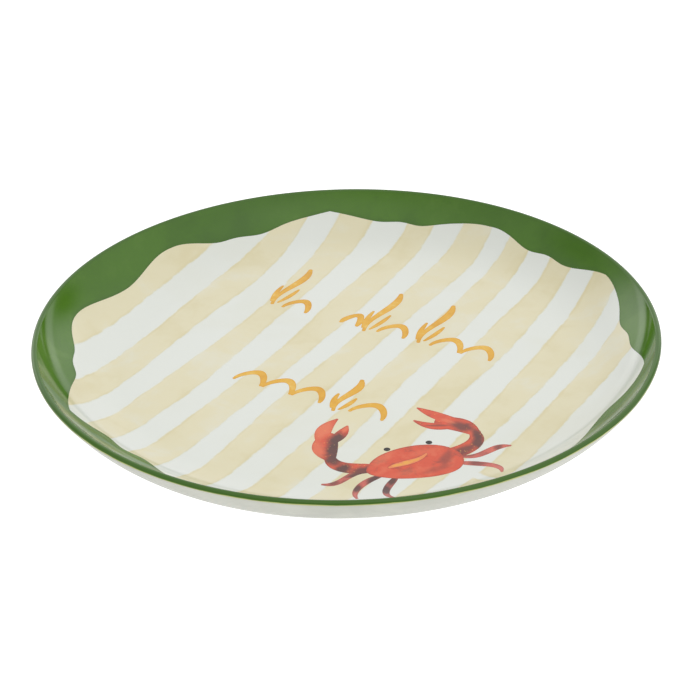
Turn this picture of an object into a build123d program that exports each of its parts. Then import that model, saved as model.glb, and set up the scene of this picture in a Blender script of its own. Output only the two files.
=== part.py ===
"""Souvenir dinner plate: a shallow round plate with a green scalloped rim band and painted decoration.

Units are millimetres. The origin is at the centre of the foot ring's contact plane, +Z is up, +Y is the
top of the painted picture and +X its right. One fired clay body carries three white glaze coats. A thin
coat of colours lies on the top glaze: the green rim band, the beige stripes, the ochre motifs and the crab.
"""
from build123d import *
import math
import os

# Plate
PLATE_RADIUS = 135.0        # to the outermost point of the lip
LIP_HEIGHT = 23.0           # height of that point above the table
LIP_ROUND = 1.1             # radius of the rounded lip under the colour
FLOOR_HEIGHT = 5.98         # glazed floor of the well
INNER_SLOPE = 54.0          # steepness of the wall at the lip, inside
OUTER_SLOPE = 61.0          # the same outside
OUTER_WALL_RADIUS = 46.0    # curve of the wall's outside
BASE_HEIGHT = 2.4           # underside of the base above the table
BASE_BLEND = 30.0           # curve between the base and the wall

# Foot ring
FOOT_RADIUS = 85.5          # middle of the ring
FOOT_WIDTH = 4.0            # at its contact face
FOOT_DRAFT = 0.9            # how much each side leans out over its height
FOOT_ROUND = 0.8            # its bottom edges
FOOT_BARE = 0.9             # height of the unglazed clay at the contact face

# Coats
GLAZE = 0.35                # white glaze
COLOUR = 0.35               # painted colour on the top glaze

# Inner edge of the green rim band: (angle, radius) points of each scallop, from its peak to the next one
RIM_BAND_SCALLOPS = [
    [
        (16.0, 128.4), (22.0, 125.4), (27.0, 122.7),
        (31.0, 122.8), (35.5, 121.5), (40.0, 123.7), (46.0, 126.8),
    ],
    [(52.0, 128.4), (58.0, 125.4), (64.0, 122.4), (69.5, 122.9), (73.5, 121.7), (79.0, 123.9)],
    [
        (86.0, 125.9), (92.0, 124.8), (98.0, 122.2),
        (102.5, 120.5), (106.5, 121.5), (110.5, 121.0), (116.0, 122.5),
    ],
    [
        (123.0, 125.7), (128.0, 124.0), (134.0, 121.7),
        (140.0, 118.8), (146.0, 119.6), (150.0, 119.4), (155.0, 121.8),
    ],
    [(161.5, 124.0), (167.0, 122.6), (173.0, 119.3), (178.5, 117.6), (183.0, 118.4), (189.0, 121.4)],
    [
        (198.0, 124.0), (204.0, 121.2), (208.5, 118.7),
        (213.0, 118.6), (217.0, 117.1), (222.0, 119.0), (228.0, 122.3),
    ],
    [
        (235.0, 125.6), (240.0, 120.6), (244.0, 117.2),
        (249.5, 117.2), (253.5, 114.9), (259.0, 116.4), (264.0, 119.8),
    ],
    [(271.0, 124.6), (277.0, 121.6), (283.0, 116.8), (288.5, 118.0), (293.0, 116.2), (300.0, 120.6)],
    [(308.0, 125.0), (314.0, 121.8), (320.0, 117.4), (325.0, 118.4), (330.0, 117.2), (336.0, 120.6)],
    [
        (344.0, 124.2), (350.0, 122.0), (355.0, 120.0),
        (359.0, 119.4), (363.0, 120.4), (366.5, 123.3), (371.0, 126.5),
    ],
]

# Beige stripes: x of the left and the right edge at each of these heights on the plate
STRIPE_ROWS = [130, 80, 40, 0, -40, -80, -130]
STRIPES = [
    ([-135, -135, -135, -135, -135, -135, -135], [-97.0, -102.0, -106.7, -107.6, -106.4, -108.0, -110.0]),
    ([-84.0, -89.0, -91.4, -90.6, -90.6, -90.8, -86.0], [-73.0, -75.7, -72.8, -74.4, -74.2, -75.4, -72.0]),
    ([-62.0, -63.3, -59.4, -58.8, -61.3, -64.0, -61.0], [-46.8, -46.6, -45.2, -45.0, -44.3, -47.4, -52.0]),
    ([-32.6, -32.2, -32.6, -30.9, -33.0, -36.2, -40.8], [-18.4, -16.9, -15.9, -16.9, -18.2, -20.2, -25.4]),
    ([-5.2, -6.4, -6.3, -7.8, -9.8, -9.9, -14.0], [10.4, 9.9, 7.8, 6.2, 6.2, 4.5, 0.8]),
    ([20.7, 18.8, 18.6, 17.6, 17.3, 15.9, 12.0], [35.1, 33.8, 34.4, 32.1, 32.8, 31.6, 28.5]),
    ([47.0, 44.2, 43.6, 43.2, 42.8, 41.1, 37.5], [62.4, 59.0, 60.3, 57.9, 57.4, 55.8, 52.3]),
    ([73.4, 70.6, 71.0, 71.0, 70.2, 68.6, 66.0], [91.0, 86.4, 86.3, 85.0, 81.9, 78.5, 76.0]),
    ([102.0, 97.2, 94.4, 92.9, 90.7, 86.8, 83.0], [126.0, 116.0, 109.6, 106.2, 104.9, 102.6, 100.0]),
]

# Crab, in its own frame: x across the shell, y towards the eyes
CRAB_CENTRE = (63.5, -57.5)
CRAB_TURN = 38.0
SHELL_OUTLINE = [
    (-20.0, -2.6), (-15.2, 5.0), (-6.0, 10.0), (5.0, 11.4), (14.2, 8.6), (19.6, 1.0),
    (17.6, -7.0), (9.0, -11.4), (-3.0, -11.6), (-14.0, -9.0),
]
EYE_RADIUS = 1.35
EYES = [(-9.4, 10.6), (8.2, 12.6)]

# Ochre motifs: tufts of sea grass as (x, y, height) and waves as (first x, last x, y, crests)
MOTIFS = {
    "ochre_motif_upper_left": ([(-55.0, 28.0, 36.0)], [(-49.0, -36.0, 32.0, 1)]),
    "ochre_motif_upper_right": (
        [(-5.5, 25.5, 37.0), (21.0, 27.5, 36.0)],
        [(-18.5, -9.5, 32.0, 1), (0.5, 14.5, 32.0, 1), (27.0, 57.0, 32.0, 2)],
    ),
    "ochre_motif_lower": ([(15.5, -39.0, 26.0)], [(-35.0, 8.5, -32.0, 3), (22.0, 38.5, -32.0, 1)]),
}
WAVE_RISE = 8.6
WAVE_WIDTHS = [1.7, 3.9, 1.7]


def polar(angle, radius):
    """Point on the plate at an angle in degrees and a radius."""
    return radius * math.cos(math.radians(angle)), radius * math.sin(math.radians(angle))


def brush_stroke(path, widths):
    """Fill a smooth stroke along path, as wide as widths says at each point, with round ends."""
    left = []
    right = []
    for i, (x, y) in enumerate(path):
        before = path[max(i - 1, 0)]
        after = path[min(i + 1, len(path) - 1)]
        run = math.hypot(after[0] - before[0], after[1] - before[1])
        along = ((after[0] - before[0]) / run, (after[1] - before[1]) / run)
        half = widths[i] / 2
        left.append((x - along[1] * half, y + along[0] * half))
        right.append((x + along[1] * half, y - along[0] * half))
        if i == 0:
            start = (x - along[0] * half, y - along[1] * half)
        end = (x + along[0] * half, y + along[1] * half)
    with BuildLine() as outline:
        Spline(*left)
        ThreePointArc(left[-1], end, right[-1])
        Spline(*right[::-1])
        ThreePointArc(right[0], start, left[0])
    make_face(outline.edges())


def wave_strokes(first, last, y, crests):
    """Fill a row of wave crests: each is one arched stroke, thick at its top."""
    pitch = (last - first) / crests
    for i in range(crests):
        left = first + i * pitch
        brush_stroke(
            [
                (left, y - WAVE_RISE / 2),
                (left + 0.22 * pitch, y + 0.22 * WAVE_RISE),
                (left + 0.52 * pitch, y + WAVE_RISE / 2),
                (left + 0.80 * pitch, y + 0.10 * WAVE_RISE),
                (left + 0.92 * pitch, y - WAVE_RISE / 2),
            ],
            [WAVE_WIDTHS[0], 3.0, WAVE_WIDTHS[1], 3.0, WAVE_WIDTHS[2]],
        )


def grass_tuft(x, y, height):
    """Fill a tuft of sea grass: one tall blade and a short one on each side."""
    brush_stroke(
        [(x, y), (x - 1.1, y + 0.35 * height), (x + 0.9, y + 0.7 * height), (x - 0.6, y + height)],
        [1.8, 2.8, 4.0, 2.0],
    )
    for side in (-1, 1):
        brush_stroke(
            [
                (x + side * 1.9, y + 0.06 * height),
                (x + side * 3.6, y + 0.26 * height),
                (x + side * 4.3, y + 0.46 * height),
            ],
            [1.2, 2.4, 1.2],
        )


# ---- Section of the plate -------------------------------------------------------------------------

inner_slope = math.radians(INNER_SLOPE)
outer_slope = math.radians(OUTER_SLOPE)
lip_centre = (PLATE_RADIUS - COLOUR - LIP_ROUND, LIP_HEIGHT)
wall_top = (lip_centre[0] - LIP_ROUND * math.sin(inner_slope), lip_centre[1] + LIP_ROUND * math.cos(inner_slope))
lip_under = (lip_centre[0] + LIP_ROUND * math.sin(outer_slope), lip_centre[1] - LIP_ROUND * math.cos(outer_slope))
lip_top = (lip_centre[0], lip_centre[1] + LIP_ROUND)

wall_radius = (wall_top[1] - FLOOR_HEIGHT) / (1 - math.cos(inner_slope))
floor_radius = wall_top[0] - wall_radius * math.sin(inner_slope)
wall_middle = (
    floor_radius + wall_radius * math.sin(inner_slope / 2),
    FLOOR_HEIGHT + wall_radius * (1 - math.cos(inner_slope / 2)),
)

outer_centre = (
    lip_under[0] - OUTER_WALL_RADIUS * math.sin(outer_slope),
    lip_under[1] + OUTER_WALL_RADIUS * math.cos(outer_slope),
)
base_slope = math.acos((outer_centre[1] - BASE_HEIGHT) / OUTER_WALL_RADIUS)
base_edge = (outer_centre[0] + OUTER_WALL_RADIUS * math.sin(base_slope), BASE_HEIGHT)
middle_slope = (base_slope + outer_slope) / 2
outer_middle = (
    outer_centre[0] + OUTER_WALL_RADIUS * math.sin(middle_slope),
    outer_centre[1] - OUTER_WALL_RADIUS * math.cos(middle_slope),
)

foot_inside = FOOT_RADIUS - FOOT_WIDTH / 2
foot_outside = FOOT_RADIUS + FOOT_WIDTH / 2
PAST_AXIS = -5.0            # sections run past the axis, so that offsetting leaves the middle alone

# The glazed plate's outline
with BuildSketch(Plane.XZ) as glazed_section:
    with BuildLine():
        Polyline(
            (PAST_AXIS, FLOOR_HEIGHT),
            (PAST_AXIS, BASE_HEIGHT),
            (foot_inside - FOOT_DRAFT, BASE_HEIGHT),
            (foot_inside, 0),
            (foot_outside, 0),
            (foot_outside + FOOT_DRAFT, BASE_HEIGHT),
            base_edge,
        )
        ThreePointArc(base_edge, outer_middle, lip_under)
        ThreePointArc(lip_under, lip_top, wall_top)
        ThreePointArc(wall_top, wall_middle, (floor_radius, FLOOR_HEIGHT))
        Line((floor_radius, FLOOR_HEIGHT), (PAST_AXIS, FLOOR_HEIGHT))
    make_face()
    corners = glazed_section.vertices()
    fillet(corners.sort_by_distance((base_edge[0], 0, base_edge[1]))[0], radius=BASE_BLEND)
    foot_corners = glazed_section.vertices().group_by(Axis.Z)[0]
    fillet(foot_corners, radius=FOOT_ROUND)

# The clay inside it, bare at the foot's contact face
with BuildSketch(Plane.XZ) as clay_section:
    add(glazed_section.sketch_local)
    offset(amount=-GLAZE, mode=Mode.REPLACE)
    with BuildSketch(Plane.XZ, mode=Mode.PRIVATE) as bare_foot:
        add(glazed_section.sketch_local)
        with Locations((FOOT_RADIUS, FOOT_BARE / 2)):
            Rectangle(2 * FOOT_WIDTH, FOOT_BARE, mode=Mode.INTERSECT)
    add(bare_foot.sketch_local)
    split(bisect_by=Plane.YZ)

# The line between the top and the underside, through the middle of the clay and out at the lip
with BuildSketch(Plane.XZ) as upper_side:
    with BuildLine():
        Polyline(
            (0, FLOOR_HEIGHT / 2 + BASE_HEIGHT / 2),
            (base_edge[0], FLOOR_HEIGHT / 2 + BASE_HEIGHT / 2),
            ((wall_middle[0] + outer_middle[0]) / 2, (wall_middle[1] + outer_middle[1]) / 2),
            lip_centre,
            (PLATE_RADIUS + 5, LIP_HEIGHT),
            (PLATE_RADIUS + 5, LIP_HEIGHT + 10),
            (0, LIP_HEIGHT + 10),
            close=True,
        )
    make_face()

with BuildSketch(Plane.XZ) as glaze_section:
    add(glazed_section.sketch_local)
    split(bisect_by=Plane.YZ)
    add(clay_section.sketch_local, mode=Mode.SUBTRACT)

with BuildSketch(Plane.XZ) as colour_section:
    add(glazed_section.sketch_local)
    offset(amount=COLOUR, mode=Mode.REPLACE)
    add(glazed_section.sketch_local, mode=Mode.SUBTRACT)
    add(upper_side.sketch_local, mode=Mode.INTERSECT)

# ---- Clay and white glaze -------------------------------------------------------------------------

os.makedirs("parts", exist_ok=True)


def finish(piece, name):
    """Label a finished piece and write its file."""
    piece.part.label = name
    export_step(piece.part, f"parts/{name}.step")


with BuildPart() as clay_body:
    add(clay_section.sketch)
    revolve(axis=Axis.Z)
finish(clay_body, "clay_body")

with BuildPart() as top_glaze:
    with BuildSketch(Plane.XZ):
        add(glaze_section.sketch_local)
        add(upper_side.sketch_local, mode=Mode.INTERSECT)
    revolve(axis=Axis.Z)
finish(top_glaze, "top_glaze")

with BuildPart() as base_glaze:
    with BuildSketch(Plane.XZ):
        add(glaze_section.sketch_local)
        add(upper_side.sketch_local, mode=Mode.SUBTRACT)
        Rectangle(FOOT_RADIUS, FLOOR_HEIGHT, align=(Align.MIN, Align.MIN), mode=Mode.INTERSECT)
    revolve(axis=Axis.Z)
finish(base_glaze, "base_glaze")

with BuildPart() as underside_glaze:
    with BuildSketch(Plane.XZ):
        add(glaze_section.sketch_local)
        add(upper_side.sketch_local, mode=Mode.SUBTRACT)
        Rectangle(FOOT_RADIUS, FLOOR_HEIGHT, align=(Align.MIN, Align.MIN), mode=Mode.SUBTRACT)
    revolve(axis=Axis.Z)
finish(underside_glaze, "underside_glaze")

# ---- Colours --------------------------------------------------------------------------------------

# The coat that every colour is cut from
with BuildPart() as colour_coat:
    add(colour_section.sketch)
    revolve(axis=Axis.Z)

CUT_HEIGHT = 2 * LIP_HEIGHT  # outlines are drawn flat and cut straight up through the coat

with BuildSketch() as picture_area:
    with BuildLine():
        for scallop, following in zip(RIM_BAND_SCALLOPS, RIM_BAND_SCALLOPS[1:] + RIM_BAND_SCALLOPS[:1]):
            Spline(*[polar(angle, radius) for angle, radius in scallop + following[:1]])
    make_face()

with BuildPart() as green_rim_band:
    add(colour_coat.part)
    with BuildSketch():
        add(picture_area.sketch)
    extrude(amount=CUT_HEIGHT, mode=Mode.SUBTRACT)
finish(green_rim_band, "green_rim_band")

# Crab
crab_plane = Plane(
    origin=(CRAB_CENTRE[0], CRAB_CENTRE[1], 0),
    x_dir=(math.cos(math.radians(CRAB_TURN)), math.sin(math.radians(CRAB_TURN)), 0),
    z_dir=(0, 0, 1),
)

with BuildSketch(crab_plane) as eye_area:
    with Locations(*EYES):
        Circle(EYE_RADIUS)

with BuildSketch(crab_plane) as highlight_area:
    brush_stroke([(-10.5, -2.4), (-4.5, -0.6), (2.0, 1.6), (5.6, 4.6)], [1.2, 3.0, 2.2, 0.8])

with BuildSketch(crab_plane) as shell_area:
    with BuildLine():
        Spline(*SHELL_OUTLINE, periodic=True)
    make_face()
    add(eye_area.sketch_local, mode=Mode.SUBTRACT)
    add(highlight_area.sketch_local, mode=Mode.SUBTRACT)

with BuildSketch(crab_plane) as left_claw_area:
    brush_stroke([(-18.0, -1.5), (-25.0, -0.5), (-31.0, 3.0), (-33.0, 8.5)], [5.6, 7.2, 6.4, 5.0])
    brush_stroke([(-33.0, 8.0), (-34.0, 15.0), (-32.0, 23.0)], [5.0, 10.4, 8.6])
    brush_stroke([(-34.2, 21.0), (-32.5, 29.0), (-26.0, 36.5)], [5.6, 6.6, 1.2])
    brush_stroke([(-29.6, 21.0), (-26.0, 25.0), (-22.6, 30.5)], [4.6, 5.2, 1.2])
    add(shell_area.sketch_local, mode=Mode.SUBTRACT)

with BuildSketch(crab_plane) as right_claw_area:
    brush_stroke([(15.5, 3.0), (22.0, 5.5), (27.5, 11.0), (27.5, 17.5)], [7.4, 7.6, 6.4, 4.6])
    brush_stroke([(28.0, 16.5), (24.5, 22.0), (17.5, 26.0)], [5.2, 9.4, 9.0])
    brush_stroke([(20.5, 27.0), (15.0, 32.0), (8.6, 39.0)], [5.4, 5.4, 1.2])
    brush_stroke([(18.5, 23.2), (12.0, 24.4), (5.4, 29.6)], [4.6, 4.8, 1.2])
    add(shell_area.sketch_local, mode=Mode.SUBTRACT)

with BuildSketch(crab_plane) as left_legs_area:
    brush_stroke([(-18.0, -4.5), (-27.0, -5.5), (-33.0, -9.5), (-38.5, -9.5)], [1.8, 3.2, 2.8, 1.2])
    brush_stroke([(-14.5, -7.5), (-21.5, -11.0), (-26.5, -17.0), (-27.0, -23.0)], [1.8, 3.2, 2.6, 1.2])
    brush_stroke([(-9.0, -9.5), (-13.0, -15.0), (-15.0, -20.0), (-12.8, -26.0)], [1.8, 3.2, 2.8, 1.2])
    add(shell_area.sketch_local, mode=Mode.SUBTRACT)
    add(left_claw_area.sketch_local, mode=Mode.SUBTRACT)

with BuildSketch(crab_plane) as right_legs_area:
    brush_stroke([(18.5, 0.5), (27.5, 0.6), (34.5, 4.0), (40.0, 4.4)], [1.8, 3.2, 3.2, 1.2])
    brush_stroke([(17.5, -4.0), (26.0, -6.6), (31.0, -9.8), (32.0, -16.0)], [1.8, 3.2, 3.0, 1.2])
    brush_stroke([(15.0, -7.5), (20.5, -12.0), (23.5, -18.0), (27.0, -21.5)], [1.8, 3.2, 3.2, 1.2])
    add(shell_area.sketch_local, mode=Mode.SUBTRACT)
    add(right_claw_area.sketch_local, mode=Mode.SUBTRACT)

crab_areas = {
    "crab_shell": shell_area,
    "crab_highlight": highlight_area,
    "crab_eyes": eye_area,
    "crab_left_claw": left_claw_area,
    "crab_right_claw": right_claw_area,
    "crab_left_legs": left_legs_area,
    "crab_right_legs": right_legs_area,
}

# Ochre motifs
motif_areas = {}
for name, (tufts, waves) in MOTIFS.items():
    with BuildSketch() as motif_area:
        for tuft in tufts:
            grass_tuft(*tuft)
        for wave in waves:
            wave_strokes(*wave)
    motif_areas[name] = motif_area

for name, area in (crab_areas | motif_areas).items():
    with BuildPart() as painted:
        add(area.sketch)
        extrude(amount=CUT_HEIGHT)
        add(colour_coat.part, mode=Mode.INTERSECT)
    finish(painted, name)

# Beige stripes, which stop at the band and leave the crab and the motifs free
for number, (left_edge, right_edge) in enumerate(STRIPES, start=1):
    left = list(zip(left_edge, STRIPE_ROWS))
    right = list(zip(right_edge, STRIPE_ROWS))
    with BuildPart() as stripe:
        with BuildSketch():
            with BuildLine():
                Spline(*left)
                Line(left[-1], right[-1])
                Spline(*right[::-1])
                Line(right[0], left[0])
            make_face()
            add(picture_area.sketch, mode=Mode.INTERSECT)
            for area in (crab_areas | motif_areas).values():
                add(area.sketch, mode=Mode.SUBTRACT)
        extrude(amount=CUT_HEIGHT)
        add(colour_coat.part, mode=Mode.INTERSECT)
    finish(stripe, f"beige_stripe_{number}")
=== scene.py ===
"""Souvenir plate: the glazes and the painted decoration of a shallow stoneware plate, on a pale studio floor.

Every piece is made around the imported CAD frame, in metres and in its coordinates. The clay and the three
white glazes are lathed from one section; the green band, the beige stripes, the ochre marks and the crab
take their outlines from the CAD nodes that they stand for, and lie on the glaze as thin coats.
"""
import math

import bmesh
import bpy
import numpy as np
from mathutils import Matrix, Vector
from mathutils.geometry import delaunay_2d_cdt


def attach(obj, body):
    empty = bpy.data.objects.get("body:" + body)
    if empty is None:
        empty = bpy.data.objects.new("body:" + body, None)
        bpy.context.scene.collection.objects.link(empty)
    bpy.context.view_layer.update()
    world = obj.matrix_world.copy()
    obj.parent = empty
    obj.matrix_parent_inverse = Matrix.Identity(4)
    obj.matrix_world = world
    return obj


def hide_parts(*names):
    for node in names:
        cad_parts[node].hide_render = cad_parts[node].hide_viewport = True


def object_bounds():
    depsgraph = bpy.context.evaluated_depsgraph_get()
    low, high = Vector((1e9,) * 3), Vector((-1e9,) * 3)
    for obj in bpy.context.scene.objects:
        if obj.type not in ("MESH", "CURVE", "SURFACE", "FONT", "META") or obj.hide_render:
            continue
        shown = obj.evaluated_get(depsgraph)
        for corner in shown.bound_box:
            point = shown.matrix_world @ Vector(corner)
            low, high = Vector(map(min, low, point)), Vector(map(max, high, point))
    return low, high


bl_info = {
    "name": "Souvenir Plate",
    "version": (1, 0, 0),
    "blender": (4, 5, 0),
    "location": "3D View > Sidebar > Plate",
    "description": "Glazes and painted decoration of a shallow stoneware plate",
    "category": "Object",
}

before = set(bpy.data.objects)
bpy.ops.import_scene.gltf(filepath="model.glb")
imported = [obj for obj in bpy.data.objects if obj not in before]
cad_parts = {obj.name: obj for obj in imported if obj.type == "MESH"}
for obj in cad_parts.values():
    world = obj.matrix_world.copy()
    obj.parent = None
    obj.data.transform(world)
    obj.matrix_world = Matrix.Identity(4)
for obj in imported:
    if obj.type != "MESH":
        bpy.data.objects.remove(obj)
CAD_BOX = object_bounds()

MM = 0.001
LATHE_SEGMENTS = 480
BAND_SEGMENTS = 1080
MERGE_DISTANCE = 2e-6
SHARP_ANGLE = math.radians(32)
FOOT_POOL = 0.7 * MM
SHARED_EDGE = 0.12 * MM
POINTS_AT_ONCE = 2000
TINY = 1e-18


# ---- Sizes and colours ----------------------------------------------------------------------------


def linear(red, green, blue):
    """Scene colour of a display colour given from 0 to 255."""
    parts = [value / 255 for value in (red, green, blue)]
    return tuple(v / 12.92 if v <= 0.04045 else ((v + 0.055) / 1.055) ** 2.4 for v in parts)


def length(name, description, default):
    return bpy.props.FloatProperty(
        name=name, description=description, default=default, unit="LENGTH", subtype="DISTANCE", precision=5
    )


def angle(name, description, default):
    return bpy.props.FloatProperty(
        name=name, description=description, default=math.radians(default), unit="ROTATION", subtype="ANGLE"
    )


def factor(name, description, default):
    return bpy.props.FloatProperty(
        name=name, description=description, default=default, min=0.0, max=1.0, subtype="FACTOR"
    )


def number(name, description, default):
    return bpy.props.FloatProperty(name=name, description=description, default=default, subtype="NONE")


def colour(name, description, red, green, blue):
    return bpy.props.FloatVectorProperty(
        name=name,
        description=description,
        default=linear(red, green, blue),
        size=3,
        min=0.0,
        max=1.0,
        subtype="COLOR",
    )


class PlateForm(bpy.types.PropertyGroup):
    """Sizes of the plate's section."""

    rim_radius: length("Rim Radius", "To the outermost point of the painted lip", round(CAD_BOX[1][0], 5))
    rim_height: length("Rim Height", "Height of the painted lip's top", round(CAD_BOX[1][2], 5))
    lip_round: length("Lip Round", "Radius of the lip under the colour", 1.1 * MM)
    floor_height: length("Floor Height", "Glazed floor of the well above the table", 5.98 * MM)
    inner_slope: angle("Inner Slope", "Steepness of the wall at the lip, inside", 54)
    outer_slope: angle("Outer Slope", "Steepness of the wall at the lip, outside", 61)
    outer_radius: length("Outer Wall Radius", "Curve of the wall's outside", 46 * MM)
    base_height: length("Base Height", "Underside of the base above the table", 2.4 * MM)
    base_blend: length("Base Blend", "Curve between the base and the wall", 30 * MM)
    foot_radius: length("Foot Radius", "Middle of the foot ring", 85.5 * MM)
    foot_width: length("Foot Width", "Width of the ring's contact face", 4 * MM)
    foot_draft: length("Foot Draft", "How much each side of the ring leans out", 0.9 * MM)
    foot_round: length("Foot Round", "Bottom edges of the ring", 0.8 * MM)
    foot_bare: length("Bare Foot", "Height of the unglazed clay", 0.9 * MM)
    glaze: length("Glaze", "Thickness of the white glaze", 0.35 * MM)
    coat: length("Colour Coat", "Height of the colours over the glazed outline", 0.35 * MM)
    sunk: length("Sunk In", "How far the white glaze rises around the colours", 0.32 * MM)


class PlateColours(bpy.types.PropertyGroup):
    """Colours of the clay, the glazes and the paints."""

    clay: colour("Clay", "Fired clay of the foot ring", 214, 203, 180)
    clay_speck: colour("Clay Speck", "Darker grains in the clay", 150, 128, 98)
    white: colour("White Glaze", "Glaze of the floor of the well", 234, 237, 232)
    white_warm: colour("White Glaze, Thick", "Where the glaze has pooled", 229, 230, 218)
    # painted shade: the underside's glaze is the white glaze in a darker colour, standing in for the shade
    # under the plate
    under: colour("Underside Glaze", "Glaze outside and underneath", 206, 208, 197)
    green: colour("Green", "Rim band", 74, 120, 12)
    green_deep: colour("Deep Green", "Where the band's glaze is thick", 56, 98, 8)
    green_thin: colour("Thin Green", "Where the band's glaze is thin", 100, 140, 48)
    fringe: colour("Fringe", "Yellow-green line under the lip", 214, 216, 140)
    beige: colour("Beige", "Wash of the stripes", 233, 225, 192)
    beige_deep: colour("Deep Beige", "Where the wash dried last", 220, 207, 158)
    ochre: colour("Ochre", "Brush marks", 236, 178, 44)
    ochre_deep: colour("Deep Ochre", "Ends and edges of the marks", 222, 158, 24)
    ochre_light: colour("Light Ochre", "Worn middle of the marks", 244, 206, 104)
    crab: colour("Crab Red", "Shell and claws", 226, 84, 52)
    crab_light: colour("Light Crab Red", "Where the red is thin", 238, 124, 86)
    crab_shade: colour("Crab Shade", "Brown shading", 84, 52, 50)
    crab_pink: colour("Leg Pink", "Legs", 214, 104, 92)
    crab_yellow: colour("Crab Yellow", "Highlight strokes and dots", 244, 172, 74)
    eye: colour("Eye", "Eyes", 24, 20, 22)


class PlateFinish(bpy.types.PropertyGroup):
    """Gloss and grain of the glaze."""

    gloss: factor("Roughness", "Roughness of the fired glaze", 0.07)
    under_gloss: factor("Underside Roughness", "Roughness outside and underneath", 0.16)
    ripple: length("Ripple", "Height of the glaze's slow ripple", 0.012 * MM)
    peel: length("Orange Peel", "Height of the fine dimples", 0.0016 * MM)
    soft_edge: length("Soft Edge", "Width over which a stripe fades out", 1.1 * MM)


class PlateStage(bpy.types.PropertyGroup):
    """Camera, floor and light."""

    azimuth: angle("Camera Azimuth", "Round the plate, from its front", 30)
    elevation: angle("Camera Elevation", "Above the table", 29.644)
    distance: length("Camera Distance", "To the middle of the plate's rim", 0.81)
    roll: angle("Camera Roll", "Turn about the line of sight", -1.293)
    lens: number("Lens", "Focal length in millimetres on a 36 mm sensor", 96.99)
    aim_right: length("Aim Right", "Aim point to the right of the middle, along the table", 0.494 * MM)
    aim_back: length("Aim Back", "Aim point behind the middle, along the table", -18.70 * MM)
    floor_glow: number("Floor Glow", "Light of the light table's top, as seen", 0.92)
    floor_bounce: number("Floor Bounce", "Light that the table's top throws on the plate", 0.5)
    room: number("Room", "Brightness of the room all round", 0.58)
    edge_dark: factor("Table Edge", "How dark the table's far edge is", 0.82)
    tube: number("Tube Light", "Brightness of the level light beyond the table", 0.6)


def settings():
    """The plate's form, colours and finish."""
    scene = bpy.context.scene
    return scene.plate_form, scene.plate_colours, scene.plate_finish


# ---- Section of the plate -------------------------------------------------------------------------


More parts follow.
